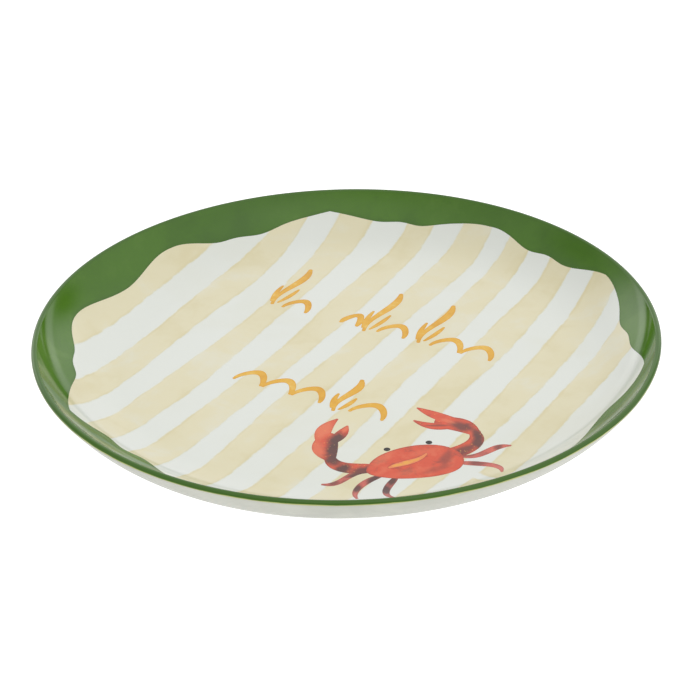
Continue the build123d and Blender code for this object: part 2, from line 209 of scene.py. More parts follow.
class Section:
    """The plate's section: lines of (radius, height), offset outwards from the glazed outline."""

    WALL_STEP = 1.3 * MM
    UPPER_LIP_STEP = 0.32 * MM
    OUTER_LIP_STEP = 0.2 * MM
    OUTER_STEPS = 14

    def __init__(self, form):
        self.form = form
        slope, outer = form.inner_slope, form.outer_slope
        inset = form.coat + form.lip_round
        self.lip = (form.rim_radius - inset, form.rim_height - inset)
        wall_top = (
            self.lip[0] - form.lip_round * math.sin(slope),
            self.lip[1] + form.lip_round * math.cos(slope),
        )
        self.wall_radius = (wall_top[1] - form.floor_height) / (1 - math.cos(slope))
        self.floor_radius = wall_top[0] - self.wall_radius * math.sin(slope)
        self.wall_centre = (self.floor_radius, form.floor_height + self.wall_radius)
        under = (
            self.lip[0] + form.lip_round * math.sin(outer),
            self.lip[1] - form.lip_round * math.cos(outer),
        )
        self.outer_centre = (
            under[0] - form.outer_radius * math.sin(outer),
            under[1] + form.outer_radius * math.cos(outer),
        )
        blend_height = form.base_height + form.base_blend
        drop = self.outer_centre[1] - blend_height
        gap = form.outer_radius - form.base_blend
        self.blend_centre = (self.outer_centre[0] + math.sqrt(gap**2 - drop**2), blend_height)
        self.blend_slope = math.acos(drop / gap)

    def arc(self, centre, radius, first, last, step=WALL_STEP):
        """Points of an arc, from one angle to another, measured from +r towards +z."""
        count = max(3, round(abs(last - first) * radius / step))
        return [
            (centre[0] + radius * math.cos(a), centre[1] + radius * math.sin(a))
            for a in np.linspace(first, last, count + 1)
        ]

    def upper(self, offset, coarse=1.0):
        """Floor, wall and lip, from the axis to the lip's outermost point."""
        form = self.form
        floor = [
            (r, form.floor_height + offset) for r in np.linspace(0, self.floor_radius, 9)[:-1]
        ]
        wall = self.arc(
            self.wall_centre,
            self.wall_radius - offset,
            -math.pi / 2,
            form.inner_slope - math.pi / 2,
            self.WALL_STEP * coarse,
        )
        lip = self.arc(
            self.lip,
            form.lip_round + offset,
            math.pi / 2 + form.inner_slope,
            0,
            self.UPPER_LIP_STEP * coarse,
        )
        return floor + wall + lip[1:]

    def outer(self, offset, first_offset=None, coarse=1.0):
        """Outside of the lip and the wall, from the outermost point to the base line's end."""
        form = self.form
        start = offset if first_offset is None else first_offset
        lip_end = form.outer_slope - math.pi / 2
        lip = self.arc(self.lip, form.lip_round + start, 0, lip_end, self.OUTER_LIP_STEP * coarse)
        wall = []
        spread = form.outer_slope - self.blend_slope
        for a in np.linspace(form.outer_slope, self.blend_slope, round(self.OUTER_STEPS / coarse))[1:]:
            share = (form.outer_slope - a) / spread
            here = offset + (start - offset) * max(0.0, 1 - 3 * share) ** 2
            radius = form.outer_radius + here
            r, z = self.outer_centre
            wall.append((r + radius * math.sin(a), z - radius * math.cos(a)))
        blend = self.arc(
            self.blend_centre,
            form.base_blend + offset,
            self.blend_slope - math.pi / 2,
            -math.pi / 2,
            self.WALL_STEP * coarse,
        )
        return lip + wall + blend[1:]

    def foot_side(self, side, offset, bottom):
        """One side of the foot ring, from the base down to a height; side is 1 outside and -1 inside."""
        form = self.form
        lean = math.atan2(form.foot_draft, form.base_height)
        base = form.base_height - offset
        reach = form.foot_width / 2 + offset / math.cos(lean)

        def at(height):
            return (form.foot_radius + side * (reach + height * math.tan(lean)), height)

        corner = at(base)
        if offset:
            return [corner, at(bottom)]
        turn = math.pi / 2 - lean
        r, z = corner[0] + side * FOOT_POOL * math.tan(turn / 2), base - FOOT_POOL
        pool = [
            (r - side * FOOT_POOL * math.sin(a), z + FOOT_POOL * math.cos(a)) for a in np.linspace(0, turn, 6)
        ]
        return pool + [at(bottom)]

    def bare_foot(self):
        """The unglazed foot from its outer side to its inner one, below the glaze's edge."""
        form = self.form
        lean = math.atan2(form.foot_draft, form.base_height)
        tangent = form.foot_round * math.tan((math.pi / 2 - lean) / 2)
        half = form.foot_width / 2

        def side_at(height):
            return half + height * math.tan(lean)

        outside = [(form.foot_radius + side_at(form.foot_bare), form.foot_bare)]
        for a in np.linspace(0, 1, 7):
            turn = a * (math.pi / 2 - lean) + lean
            outside.append(
                (
                    form.foot_radius + half - tangent + form.foot_round * math.cos(turn),
                    form.foot_round - form.foot_round * math.sin(turn),
                )
            )
        inside = [(2 * form.foot_radius - r, z) for r, z in outside[::-1]]
        middle = [(form.foot_radius + x * half, 0.0) for x in (0.3, 0.0, -0.3)]
        return outside + middle + inside

    def height(self, radius, offset):
        """Height of the upper side at a radius inside the lip."""
        wall = self.wall_radius - offset
        run = np.clip(radius - self.floor_radius, 0, wall)
        return self.wall_centre[1] - np.sqrt(wall**2 - run**2)

    def normals(self, xy, offset):
        """Upward normals of the upper side at points inside the lip."""
        radius = np.hypot(xy[:, 0], xy[:, 1])
        lean = np.clip(radius - self.floor_radius, 0, None) / (self.wall_radius - offset)
        out = xy / np.maximum(radius, 1e-9)[:, None]
        return np.column_stack([-lean[:, None] * out, np.sqrt(1 - lean**2)])


def thinned(points):
    """The same line without points that lie on each other."""
    kept = [points[0]]
    for point in points[1:]:
        if math.dist(point, kept[-1]) > 2 * MERGE_DISTANCE:
            kept.append(point)
    return kept


def shared(name):
    """Decorator: make a node group once, and give the same one back afterwards."""
    return lambda make: lambda: bpy.data.node_groups.get(name) or make()


# ---- Lathe, as Geometry Nodes ---------------------------------------------------------------------


@shared("Lathe")
def lathe_tree():
    """Node tree that turns a section line about the Z axis into a closed mesh."""
    tree = bpy.data.node_groups.new("Lathe", "GeometryNodeTree")
    for label, kind, default in (
        ("Section", "Geometry", None),
        ("Segments", "Int", LATHE_SEGMENTS),
        ("Merge Distance", "Float", MERGE_DISTANCE),
        ("Material", "Material", None),
    ):
        socket = tree.interface.new_socket(label, in_out="INPUT", socket_type="NodeSocket" + kind)
        if default is not None:
            socket.default_value = default
    tree.interface.new_socket("Mesh", in_out="OUTPUT", socket_type="NodeSocketGeometry")

    build = Nodes(tree)
    given = build.add("NodeGroupInput").outputs
    here = build.make("GeometryNodeInputPosition")
    count = build.make("GeometryNodeAttributeDomainSize", {0: given["Section"]}, component="MESH")
    columns = build.math("ADD", given["Segments"], 1)
    grid = build.make(
        "GeometryNodeMeshGrid", {"Size X": 1.0, "Size Y": 1.0, "Vertices X": count, "Vertices Y": columns}
    )
    across, along, _ = build.split(here)
    last = build.math("SUBTRACT", count, 1)
    row = build.math("ROUND", build.math("MULTIPLY", build.math("ADD", across, 0.5), last))
    turn = build.math("MULTIPLY", build.math("ADD", along, 0.5), 2 * math.pi)
    point = build.make(
        "GeometryNodeSampleIndex",
        {"Geometry": given["Section"], "Value": here, "Index": row},
        data_type="FLOAT_VECTOR",
        domain="POINT",
        clamp=True,
    )
    radius, _, height = build.split(point)
    turned = build.make(
        "ShaderNodeCombineXYZ",
        {
            0: build.math("MULTIPLY", radius, build.math("COSINE", turn)),
            1: build.math("MULTIPLY", radius, build.math("SINE", turn)),
            2: height,
        },
    )
    shape = build.make("GeometryNodeSetPosition", {"Geometry": grid, "Position": turned})
    shape = build.make(
        "GeometryNodeMergeByDistance", {"Geometry": shape, "Distance": given["Merge Distance"]}
    )
    shape = build.make("GeometryNodeSetShadeSmooth", {"Geometry": shape})
    shape = build.make("GeometryNodeRealizeInstances", {0: shape})
    shape = build.make("GeometryNodeSetMaterial", {"Geometry": shape, "Material": given["Material"]})
    build.link(shape, build.add("NodeGroupOutput").inputs[0])
    return tree


def lathed(name, line, material):
    """A closed piece turned from a section line that starts and ends on the axis, or closes on itself."""
    points = thinned(line)
    mesh = bpy.data.meshes.new(name + "_section")
    mesh.from_pydata(
        [(r, 0, z) for r, z in points], [(i, i + 1) for i in range(len(points) - 1)], []
    )
    tool = bpy.data.objects.new(name + "_section", mesh)
    bpy.context.scene.collection.objects.link(tool)
    modifier = tool.modifiers.new("Lathe", "NODES")
    tree = lathe_tree()
    modifier.node_group = tree
    inputs = {item.name: item.identifier for item in tree.interface.items_tree if item.in_out == "INPUT"}
    modifier[inputs["Segments"]] = LATHE_SEGMENTS
    modifier[inputs["Merge Distance"]] = MERGE_DISTANCE
    modifier[inputs["Material"]] = material
    evaluated = tool.evaluated_get(bpy.context.evaluated_depsgraph_get())
    shape = bpy.data.meshes.new_from_object(evaluated)
    tool.modifiers.remove(modifier)
    bpy.data.objects.remove(tool)
    bpy.data.meshes.remove(mesh)

    shape.name = name
    turned = bmesh.new()
    turned.from_mesh(shape)
    bmesh.ops.remove_doubles(turned, verts=turned.verts, dist=MERGE_DISTANCE)
    bmesh.ops.dissolve_degenerate(turned, edges=turned.edges, dist=MERGE_DISTANCE)
    bmesh.ops.recalc_face_normals(turned, faces=turned.faces)
    if any(not edge.is_manifold for edge in turned.edges):
        raise RuntimeError(name + " isn't closed")
    if turned.calc_volume(signed=True) < 0:
        bmesh.ops.reverse_faces(turned, faces=turned.faces)
    turned.to_mesh(shape)
    turned.free()
    shape.set_sharp_from_angle(angle=SHARP_ANGLE)
    piece = bpy.data.objects.new(name, shape)
    bpy.context.scene.collection.objects.link(piece)
    return piece


# ---- Painted coats --------------------------------------------------------------------------------


def outline_loops(node):
    """Closed outlines, seen from above, of a coat's upper side: a list of arrays of (x, y)."""
    form, _, _ = settings()
    section = Section(form)
    solid = bmesh.new()
    solid.from_mesh(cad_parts[node].data)
    bmesh.ops.remove_doubles(solid, verts=solid.verts, dist=MERGE_DISTANCE)
    places = np.array([vert.co for vert in solid.verts])
    radius = np.hypot(places[:, 0], places[:, 1])
    inside_lip = radius < section.lip[0] - 2 * form.lip_round
    raised = inside_lip & (np.abs(places[:, 2] - section.height(radius, form.coat)) < form.coat / 4)
    neighbours = {}
    for edge in solid.edges:
        a, b = (vert.index for vert in edge.verts)
        whole = [all(raised[vert.index] for vert in face.verts) for face in edge.link_faces]
        if raised[a] and raised[b] and sorted(whole) == [False, True]:
            neighbours.setdefault(a, set()).add(b)
            neighbours.setdefault(b, set()).add(a)
    loops = []
    for start in neighbours:
        while neighbours[start]:
            loop, here = [start], start
            while neighbours[here]:
                following = neighbours[here].pop()
                neighbours[following].discard(here)
                if following == start:
                    break
                loop.append(following)
                here = following
            if len(loop) > 2:
                loops.append(places[loop, :2])
    solid.free()
    if not loops:
        raise RuntimeError("no outline found on " + node)
    return loops


def resampled(loop, step):
    """The loop with its long sides divided."""
    points = []
    for a, b in zip(loop, np.roll(loop, -1, axis=0)):
        run = np.linalg.norm(b - a)
        if run < 4 * MERGE_DISTANCE:
            continue
        count = max(1, math.ceil(run / step))
        points += [a + (b - a) * i / count for i in range(count)]
    return np.array(points)


def sides(loops):
    """Start and end points of every side of some loops."""
    starts = np.concatenate(loops)
    ends = np.concatenate([np.roll(loop, -1, axis=0) for loop in loops])
    return starts, ends


def distance_to(points, starts, ends):
    """Shortest distance from each point to a set of straight sides."""
    nearest = np.full(len(points), np.inf)
    along = ends - starts
    square = np.maximum((along**2).sum(axis=1), TINY)
    for first in range(0, len(points), POINTS_AT_ONCE):
        part = points[first : first + POINTS_AT_ONCE, None]
        share = np.clip(((part - starts) * along).sum(axis=2) / square, 0, 1)
        gap = np.linalg.norm(part - starts - share[..., None] * along, axis=2)
        nearest[first : first + POINTS_AT_ONCE] = gap.min(axis=1)
    return nearest


def inside(points, starts, ends):
    """Whether each point lies inside the loops, by counting the sides that it has to its right."""
    x, y = points[:, 0, None], points[:, 1, None]
    crossing = (starts[:, 1] > y) != (ends[:, 1] > y)
    rise = np.where(ends[:, 1] == starts[:, 1], TINY, ends[:, 1] - starts[:, 1])
    at = starts[:, 0] + (y - starts[:, 1]) / rise * (ends[:, 0] - starts[:, 0])
    return (crossing & (x < at)).sum(axis=1) % 2 == 1


def triangulated(loops, step):
    """Points and triangles that fill the loops, with a row of points just inside the outline."""
    starts, ends = sides(loops)
    rim = np.concatenate(loops)
    chains, first = [], 0
    for loop in loops:
        chains += [(first + i, first + (i + 1) % len(loop)) for i in range(len(loop))]
        first += len(loop)
    inset = 0.35 * step
    turned = (ends - starts)[:, ::-1] * (-1, 1)
    turned = turned / np.linalg.norm(turned, axis=1)[:, None]
    middle = (starts + ends) / 2
    near = np.concatenate([middle + inset * turned, middle - inset * turned])
    near = near[inside(near, starts, ends)]
    near = near[distance_to(near, starts, ends) > 0.8 * inset]
    kept = []
    cells = set()
    for point in near:
        cell = tuple((point / (0.4 * step)).astype(int))
        if cell not in cells:
            cells.add(cell)
            kept.append(point)
    low, high = rim.min(axis=0), rim.max(axis=0)
    rows = np.arange(low[1], high[1], step * math.sqrt(0.75))
    field = [
        (x + (step / 2 if i % 2 else 0), y)
        for i, y in enumerate(rows)
        for x in np.arange(low[0], high[0], step)
    ]
    field = np.array(field) if field else np.zeros((0, 2))
    if len(field):
        field = field[inside(field, starts, ends)]
    if len(field):
        field = field[distance_to(field, starts, ends) > 0.85 * step]
    points = np.concatenate([rim] + ([np.array(kept)] if kept else []) + ([field] if len(field) else []))
    scale = 1 / MM
    verts, _, faces, _, _, _ = delaunay_2d_cdt(
        [Vector(p * scale) for p in points], chains, [], 0, 1e-5, True
    )
    verts = np.array([tuple(v) for v in verts]) * MM
    faces = np.array([f for f in faces if len(f) == 3])
    middle = verts[faces].mean(axis=1)
    faces = faces[inside(middle, starts, ends)]
    a, b, c = (verts[faces[:, k]] for k in range(3))
    area = (b - a)[:, 0] * (c - a)[:, 1] - (b - a)[:, 1] * (c - a)[:, 0]
    faces[area < 0] = faces[area < 0][:, ::-1]
    faces = faces[np.abs(area) > 1e-14]
    used = np.unique(faces)
    renumber = np.full(len(verts), -1)
    renumber[used] = np.arange(len(used))
    return verts[used], renumber[faces]


def closed_coat(name, top, bottom, faces, top_normals, attributes, material):
    """A thin closed mesh: an upper side, a lower one under the same points, and a wall round each outline."""
    count, corners = len(top), faces.shape[1]
    directed = np.concatenate([faces[:, [k, (k + 1) % corners]] for k in range(corners)]).tolist()
    known = {tuple(edge) for edge in directed}
    walls = [(b, a, a + count, b + count) for a, b in directed if (b, a) not in known]
    everything = faces.tolist() + [[i + count for i in face[::-1]] for face in faces.tolist()] + walls
    mesh = bpy.data.meshes.new(name)
    mesh.from_pydata(np.concatenate([top, bottom]).tolist(), [], everything)
    mesh.polygons.foreach_set("use_smooth", np.ones(len(everything), bool))
    for label, values in attributes.items():
        layer = mesh.attributes.new(label, "FLOAT", "POINT")
        layer.data.foreach_set("value", np.concatenate([values, values]).astype(np.float32))
    mesh.materials.append(material)
    normals = []
    flat = np.zeros(3 * len(everything))
    mesh.polygons.foreach_get("normal", flat)
    flat = flat.reshape(-1, 3)
    for i, face in enumerate(everything):
        if i < len(faces):
            normals += [top_normals[v] for v in face]
        else:
            normals += [flat[i]] * len(face)
    mesh.normals_split_custom_set([tuple(n) for n in normals])
    piece = bpy.data.objects.new(name, mesh)
    bpy.context.scene.collection.objects.link(piece)
    return piece


def painted_coat(name, node, material, step=1.6 * MM, cut_by=()):
    """A coat of paint with the outline of its CAD node; its edge attribute is the distance to the outline.

    Where the outline only follows one of the loops in cut_by, it doesn't count as an edge.
    """
    form, _, _ = settings()
    section = Section(form)
    loops = [resampled(loop, step) for loop in outline_loops(node)]
    xy, faces = triangulated(loops, step)
    starts, ends = sides(loops)
    if cut_by:
        others = sides(list(cut_by))
        middles = (starts + ends) / 2
        own = distance_to(middles, *others) > SHARED_EDGE
        starts, ends = starts[own], ends[own]
    edge = distance_to(xy, starts, ends) if len(starts) else np.full(len(xy), 1.0)
    radius = np.hypot(xy[:, 0], xy[:, 1])
    top = np.column_stack([xy, section.height(radius, form.coat)])
    bottom = np.column_stack([xy, section.height(radius, form.coat / 2)])
    return closed_coat(
        name, top, bottom, faces, section.normals(xy, form.coat), {"edge": edge / MM}, material
    )


# ---- Shaders --------------------------------------------------------------------------------------


class Nodes:
    """Short ways to add and join nodes in one tree."""

    def __init__(self, tree):
        self.tree = tree

    def add(self, kind, **options):
        node = self.tree.nodes.new(kind)
        for key, value in options.items():
            setattr(node, key, value)
        return node

    def link(self, source, target):
        self.tree.links.new(source, target)

    def feed(self, socket, value):
        """Link a socket, or set a plain value on it."""
        if isinstance(value, bpy.types.NodeSocket):
            self.link(value, socket)
        elif hasattr(value, "__len__"):
            alpha = (1.0,) if len(value) == 3 and socket.type == "RGBA" else ()
            socket.default_value = tuple(value) + alpha
        else:
            socket.default_value = value

    def make(self, kind, sockets=None, **options):
        """Add a node, feed its inputs by name or number, and return its first output."""
        node = self.add(kind, **options)
        for key, value in (sockets or {}).items():
            self.feed(node.inputs[key], value)
        return node.outputs[0]

    def math(self, operation, first, second=0.0):
        return self.make("ShaderNodeMath", {0: first, 1: second}, operation=operation)

    def dot(self, first, second):
        node = self.add("ShaderNodeVectorMath", operation="DOT_PRODUCT")
        self.feed(node.inputs[0], first)
        self.feed(node.inputs[1], second)
        return node.outputs["Value"]

    def split(self, vector):
        """The three components of a vector."""
        node = self.add("ShaderNodeSeparateXYZ")
        self.link(vector, node.inputs[0])
        return node.outputs

    def ramp(self, value, low, high, to_low=0.0, to_high=1.0):
        """Smooth step of a value between two bounds."""
        values = dict(enumerate((value, low, high, to_low, to_high)))
        return self.make("ShaderNodeMapRange", values, interpolation_type="SMOOTHSTEP")

    def mix(self, share, first, second):
        node = self.add("ShaderNodeMix", data_type="RGBA")
        self.feed(node.inputs[0], share)
        self.feed(node.inputs[6], first)
        self.feed(node.inputs[7], second)
        return node.outputs[2]

    def noise(self, vector, scale, detail=3.0, roughness=0.5, distortion=0.0):
        values = {
            "Vector": vector,
            "Scale": scale,
            "Detail": detail,
            "Roughness": roughness,
            "Distortion": distortion,
        }
        return self.make("ShaderNodeTexNoise", values, noise_dimensions="3D")

    def cells(self, vector, scale):
        """Distance to the nearest point of a scatter."""
        return self.make("ShaderNodeTexVoronoi", {"Vector": vector, "Scale": scale}, feature="F1")

    def bump(self, height, distance=1.0):
        return self.make("ShaderNodeBump", {"Strength": 1.0, "Distance": distance, "Height": height})

    def group(self, tree, sockets):
        """Add a node group, feed its inputs by name, and return its outputs."""
        node = self.add("ShaderNodeGroup", node_tree=tree)
        for key, value in sockets.items():
            self.feed(node.inputs[key], value)
        return node.outputs

    def attribute(self, name):
        node = self.add("ShaderNodeAttribute", attribute_name=name, attribute_type="GEOMETRY")
        return node.outputs["Fac"]

    def here(self):
        return self.add("ShaderNodeTexCoord").outputs["Object"]

    def placed(self, centre, turn, scale):
        """Object coordinates in a frame of their own, centred and turned on the plate."""
        return self.make(
            "ShaderNodeMapping",
            {"Vector": self.here(), "Location": centre, "Rotation": (0, 0, turn), "Scale": scale},
            vector_type="TEXTURE",
        )


def new_group(name, inputs, outputs):
    """An empty shader node group: its builder, its inputs by name and its output node."""
    tree = bpy.data.node_groups.new(name, "ShaderNodeTree")
    for label, default in inputs.items():
        colour_like = hasattr(default, "__len__")
        kind = "Vector" if default is None else "Color" if colour_like else "Float"
        socket = tree.interface.new_socket(label, in_out="INPUT", socket_type="NodeSocket" + kind)
        if default is not None:
            socket.default_value = default
    for label, kind in outputs.items():
        tree.interface.new_socket(label, in_out="OUTPUT", socket_type="NodeSocket" + kind)
    build = Nodes(tree)
    given = build.add("NodeGroupInput")
    return build, {socket.name: socket for socket in given.outputs}, build.add("NodeGroupOutput")


@shared("Glaze Surface")
def glaze_surface_group():
    """Height and roughness of fired glaze: slow ripple, fine dimples, pinholes and faint wear."""
    build, given, out = new_group(
        "Glaze Surface",
        {"Vector": None, "Ripple": 0.01 * MM, "Peel": 0.002 * MM, "Base Roughness": 0.08},
        {"Height": "Float", "Roughness": "Float"},
    )
    slow = build.noise(given["Vector"], 55.0, 2.0, 0.45, 0.4)
    fine = build.noise(given["Vector"], 900.0, 2.0, 0.5)
    pin = build.ramp(build.cells(given["Vector"], 130.0), 0.0, 0.035, 1.0, 0.0)
    pin = build.math("MULTIPLY", pin, build.math("GREATER_THAN", build.noise(given["Vector"], 40.0), 0.66))
    height = build.math("MULTIPLY", slow, given["Ripple"])
    height = build.math("ADD", height, build.math("MULTIPLY", fine, given["Peel"]))
    pit = build.math("MULTIPLY", pin, build.math("MULTIPLY", given["Peel"], 6.0))
    height = build.math("SUBTRACT", height, pit)
    wear = build.ramp(build.noise(given["Vector"], 24.0, 5.0, 0.6), 0.42, 0.72, 0.0, 0.035)
    build.link(height, out.inputs["Height"])
    build.link(build.math("ADD", given["Base Roughness"], wear), out.inputs["Roughness"])
    return build.tree


@shared("Wash")
def wash_group():
    """Watercolour wash: thin and thick paint in soft blots, with a darker rim where it dried last."""
    build, given, out = new_group(
        "Wash",
        {
            "Vector": None,
            "Edge": 10.0,
            "Thin": (1, 1, 1, 1),
            "Paint": (0.5, 0.5, 0.5, 1),
            "Thick": (0, 0, 0, 1),
            "Scale": 60.0,
            "Blots": 0.5,
            "Rim": 0.5,
            "Rim Width": 1.0,
        },
        {"Color": "Color"},
    )
    blot = build.noise(given["Vector"], given["Scale"], 4.0, 0.55, 0.6)
    grain = build.noise(given["Vector"], build.math("MULTIPLY", given["Scale"], 5.0), 3.0, 0.6)
    both = build.math("ADD", build.math("MULTIPLY", blot, 0.78), build.math("MULTIPLY", grain, 0.22))
    thick = build.math("MULTIPLY", build.ramp(both, 0.5, 0.68), given["Blots"])
    thin = build.math("MULTIPLY", build.ramp(both, 0.5, 0.32), given["Blots"])
    wide = build.math("MULTIPLY", given["Rim Width"], build.ramp(blot, 0.35, 0.65, 0.55, 1.6))
    rim = build.ramp(build.math("DIVIDE", given["Edge"], wide), 0.25, 1.0, 1.0, 0.0)
    rim = build.math("MULTIPLY", rim, given["Rim"])
    body = build.mix(thin, given["Paint"], given["Thin"])
    body = build.mix(thick, body, given["Thick"])
    build.link(build.mix(rim, body, given["Thick"]), out.inputs["Color"])
    return build.tree


@shared("Brush Shade")
def brush_group():
    """A stroke of another colour along a line in the piece's own frame, with ragged bristle edges."""
    build, given, out = new_group(
        "Brush Shade",
        {"Vector": None, "Ragged": 2 * MM, "Reach": 4 * MM, "Softness": 2 * MM, "Strength": 1.0},
        {"Mask": "Float"},
    )
    wobble = build.noise(given["Vector"], 210.0, 3.0, 0.6)
    streak = build.noise(given["Vector"], 520.0, 2.0, 0.5)
    blend = build.math("ADD", build.math("MULTIPLY", wobble, 0.75), build.math("MULTIPLY", streak, 0.25))
    wander = build.math("MULTIPLY", build.math("SUBTRACT", blend, 0.5), given["Ragged"])
    distance = build.add("ShaderNodeVectorMath", operation="LENGTH")
    build.link(given["Vector"], distance.inputs[0])
    far = build.math("ADD", distance.outputs["Value"], wander)
    outer = build.math("ADD", given["Reach"], given["Softness"])
    mask = build.ramp(far, given["Reach"], outer, 1.0, 0.0)
    build.link(build.math("MULTIPLY", mask, given["Strength"]), out.inputs["Mask"])
    return build.tree


def glazed(name, paint, roughness=None, ripple=1.0):
    """A glazed material; paint(build) returns the socket or colour of its base colour."""
    _, _, finish = settings()
    material = bpy.data.materials.new(name)
    material.use_nodes = True
    build = Nodes(material.node_tree)
    shader = material.node_tree.nodes["Principled BSDF"]
    shader.inputs["IOR"].default_value = 1.5
    surface = build.group(
        glaze_surface_group(),
        {
            "Vector": build.here(),
            "Ripple": finish.ripple * ripple,
            "Peel": finish.peel,
            "Base Roughness": finish.gloss if roughness is None else roughness,
        },
    )
    build.link(surface["Roughness"], shader.inputs["Roughness"])
    build.link(build.bump(surface["Height"]), shader.inputs["Normal"])
    build.feed(shader.inputs["Base Color"], paint(build))
    return material


def washed(build, thin, paint, thick, scale=60.0, blots=0.5, rim=0.5, rim_width=1.0):
    """Place the wash group with its own values; returns the colour socket."""
    values = {
        "Vector": build.here(),
        "Edge": build.attribute("edge"),
        "Thin": thin,
        "Paint": paint,
        "Thick": thick,
        "Scale": scale,
        "Blots": blots,
        "Rim": rim,
        "Rim Width": rim_width,
    }
    return build.group(wash_group(), values)["Color"]


def white_paint(build):
    """Soft white with faint warm pools."""
    _, colours, _ = settings()
    pools = build.noise(build.here(), 14.0, 4.0, 0.55, 0.5)
    return build.mix(build.ramp(pools, 0.45, 0.75, 0.0, 0.55), colours.white, colours.white_warm)


def under_paint(build):
    """The underside's glaze: the white glaze given a darker, duller colour as painted shade, with pale runs
    and a few specks.
    """
    _, colours, _ = settings()
    pools = build.noise(build.here(), 26.0, 4.0, 0.6, 0.8)
    tone = build.mix(build.ramp(pools, 0.35, 0.7, 0.0, 0.6), colours.under, colours.white_warm)
    dot = build.ramp(build.cells(build.here(), 160.0), 0.0, 0.045, 0.55, 0.0)
    rare = build.math("GREATER_THAN", build.noise(build.here(), 60.0, 1.0), 0.64)
    return build.mix(build.math("MULTIPLY", dot, rare), tone, colours.clay_speck)


def clay_material():
    """Bare fired clay: warm, matt, with grains."""
    _, colours, _ = settings()
    material = bpy.data.materials.new("fired_clay")
    material.use_nodes = True
    build = Nodes(material.node_tree)
    shader = material.node_tree.nodes["Principled BSDF"]
    grain = build.noise(build.here(), 900.0, 5.0, 0.65)
    stain = build.noise(build.here(), 45.0, 4.0, 0.6)
    tone = build.mix(build.ramp(stain, 0.35, 0.7, 0.0, 0.35), colours.clay, colours.clay_speck)
    tone = build.mix(build.ramp(grain, 0.6, 0.78, 0.0, 0.6), tone, colours.clay_speck)
    build.link(tone, shader.inputs["Base Color"])
    build.link(build.ramp(grain, 0.2, 0.8, 0.72, 0.92), shader.inputs["Roughness"])
    build.link(build.bump(grain, 0.06 * MM), shader.inputs["Normal"])
    return material


# ---- Stage ----------------------------------------------------------------------------------------

# Soft panels round the plate: (turn from the camera, height), half width, softness, brightness added
PANELS = {
    "overhead": ((0, 78), 24, 16, 0.3),
    "right": ((78, 44), 42, 26, 0.5),
    "left": ((-84, 52), 26, 24, 0.26),
    "near": ((0, 58), 16, 14, 0.06),
    "far": ((180, 34), 30, 22, 0.45),
    "far_left": ((-143, 18), 12, 9, 0.85),
    "left_flag": ((-108, 32), 10, 9, -0.3),
    "far_right": ((150, 20), 9, 6, 0.4),
    "far_right_flag": ((133, 18), 7, 6, -0.5),
}
# Level strips beyond the table, in degrees above it (low, high, softness): its dark edge and a tube light
EDGE_STRIP = (2.2, 5.0, 0.8)
TUBE_STRIP = (6.0, 11.0, 1.4)
FLOOR_RADIUS = 3.2
FLOOR_SIDES = 96
LEAST_LIGHT = 0.05
BACKDROP = 1.1


def direction(turn, height):
    """Unit vector at a turn round the plate from its front and a height above the table, both in radians."""
    return Vector(
        (math.sin(turn) * math.cos(height), -math.cos(turn) * math.cos(height), math.sin(height))
    )


def panel_group():
    """Light of one soft panel, by the angle between a direction and the panel's middle."""
    build, given, out = new_group(
        "Soft Panel",
        {"Direction": None, "Middle": None, "Half Width": 0.5, "Softness": 0.3, "Brightness": 0.5},
        {"Light": "Float"},
    )
    near = build.dot(given["Direction"], given["Middle"])
    away = build.math("ARCCOSINE", build.math("MINIMUM", near, 0.99999))
    outer = build.math("ADD", given["Half Width"], given["Softness"])
    inner = build.math("SUBTRACT", given["Half Width"], given["Softness"])
    shape = build.ramp(away, inner, outer, 1.0, 0.0)
    build.link(build.math("MULTIPLY", shape, given["Brightness"]), out.inputs["Light"])
    return build.tree


